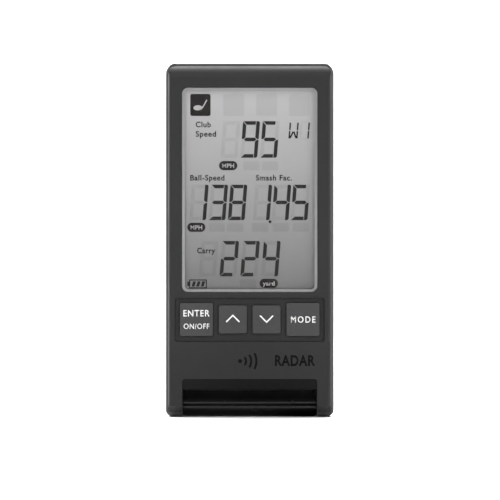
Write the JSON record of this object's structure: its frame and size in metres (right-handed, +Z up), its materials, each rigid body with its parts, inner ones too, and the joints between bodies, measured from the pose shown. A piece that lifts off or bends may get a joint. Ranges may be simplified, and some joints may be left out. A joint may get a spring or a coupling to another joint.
{
  "type": "pocket radar speed meter",
  "caption": "Upright pocket radar speed meter with a segment display, a row of keys, a battery bay and a leg that folds out of the foot.",
  "frame": {"origin": "centre of the footprint, on the surface that the case stands on", "axes": "+Z up along the case, +Y from the display to the back, +X to the right of a person facing the display"},
  "size_m": [0.068, 0.026, 0.143],
  "materials": {
    "front_shell": "satin moulded ABS, fine texture",
    "rear_shell": "satin moulded ABS, fine texture",
    "window": "clear polished acrylic",
    "tape": "thin adhesive frame",
    "display": "reflective segment display",
    "reflector": "matt silver film",
    "white_plastic": "white moulded plastic",
    "elastomer": "layered silicone strip",
    "board": "green solder mask on glass fibre",
    "chip": "moulded epoxy with tinned legs",
    "bright_metal": "tinned or plated steel",
    "capacitor_sleeve": "sleeved aluminium can",
    "ferrite": "ferrite core",
    "copper": "etched copper with a gold flash",
    "key_panel": "satin moulded ABS",
    "key_plastic": "satin moulded ABS with printed legends",
    "cell_jacket": "printed foil over a steel can",
    "wire": "insulated copper wire",
    "foam": "soft foam strip",
    "gloss_black": "polished black plastic",
    "pad_rubber": "soft black rubber"
  },
  "bodies": {
    "case": {"front_case": "front_shell", "rear_case": "rear_shell", "display_window": "window", "window_gasket": "tape", "lcd_glass": "display", "lcd_polariser": "display", "lcd_reflector": "reflector", "lcd_frame": "white_plastic", "radar_connector": "white_plastic", "zebra_strips": "elastomer", "main_board": "board", "radar_board": "board", "processor_chip": "chip", "support_chips": "chip", "radar_chip": "chip", "switch_cases": "chip", "crystal": "bright_metal", "radar_shield": "bright_metal", "contact_plates": "bright_metal", "battery_springs": "bright_metal", "stand_pin": "bright_metal", "case_screws": "bright_metal", "board_screws": "bright_metal", "capacitors": "capacitor_sleeve", "inductor": "ferrite", "antenna_patches": "copper", "key_bezel": "key_panel", "cell_1": "cell_jacket", "cell_2": "cell_jacket", "cell_3": "cell_jacket", "cell_4": "cell_jacket", "battery_leads": "wire", "hinge_cover": "gloss_black", "friction_washers": "gloss_black", "foot_pads": "pad_rubber"},
    "enter_key": {"key_enter": "key_plastic", "plunger_enter": "white_plastic"},
    "up_key": {"key_up": "key_plastic", "plunger_up": "white_plastic"},
    "down_key": {"key_down": "key_plastic", "plunger_down": "white_plastic"},
    "mode_key": {"key_mode": "key_plastic", "plunger_mode": "white_plastic"},
    "stand": {"stand_leg": "gloss_black", "leg_pads": "pad_rubber"},
    "battery_door": {"battery_cover": "rear_shell", "cover_latch": "rear_shell", "cover_foam": "foam"}
  },
  "joints": [
    {"name": "enter_press", "type": "slide", "parent": "case", "child": "enter_key", "axis": [0, 1, 0], "range_m": [0, 0.0005], "stiffness_N_per_m": 3000},
    {"name": "up_press", "type": "slide", "parent": "case", "child": "up_key", "axis": [0, 1, 0], "range_m": [0, 0.0005], "stiffness_N_per_m": 3000},
    {"name": "down_press", "type": "slide", "parent": "case", "child": "down_key", "axis": [0, 1, 0], "range_m": [0, 0.0005], "stiffness_N_per_m": 3000},
    {"name": "mode_press", "type": "slide", "parent": "case", "child": "mode_key", "axis": [0, 1, 0], "range_m": [0, 0.0005], "stiffness_N_per_m": 3000},
    {"name": "stand_swing", "type": "hinge", "parent": "case", "child": "stand", "pos_m": [0, 0.00915, 0.00385], "axis": [-1, 0, 0], "range_deg": [0, 90]},
    {"name": "battery_door_swing", "type": "hinge", "parent": "case", "child": "battery_door", "pos_m": [0, 0.0122, 0.0684], "axis": [-1, 0, 0], "range_deg": [0, 90], "deforming": ["cover_latch"]}
  ]
}
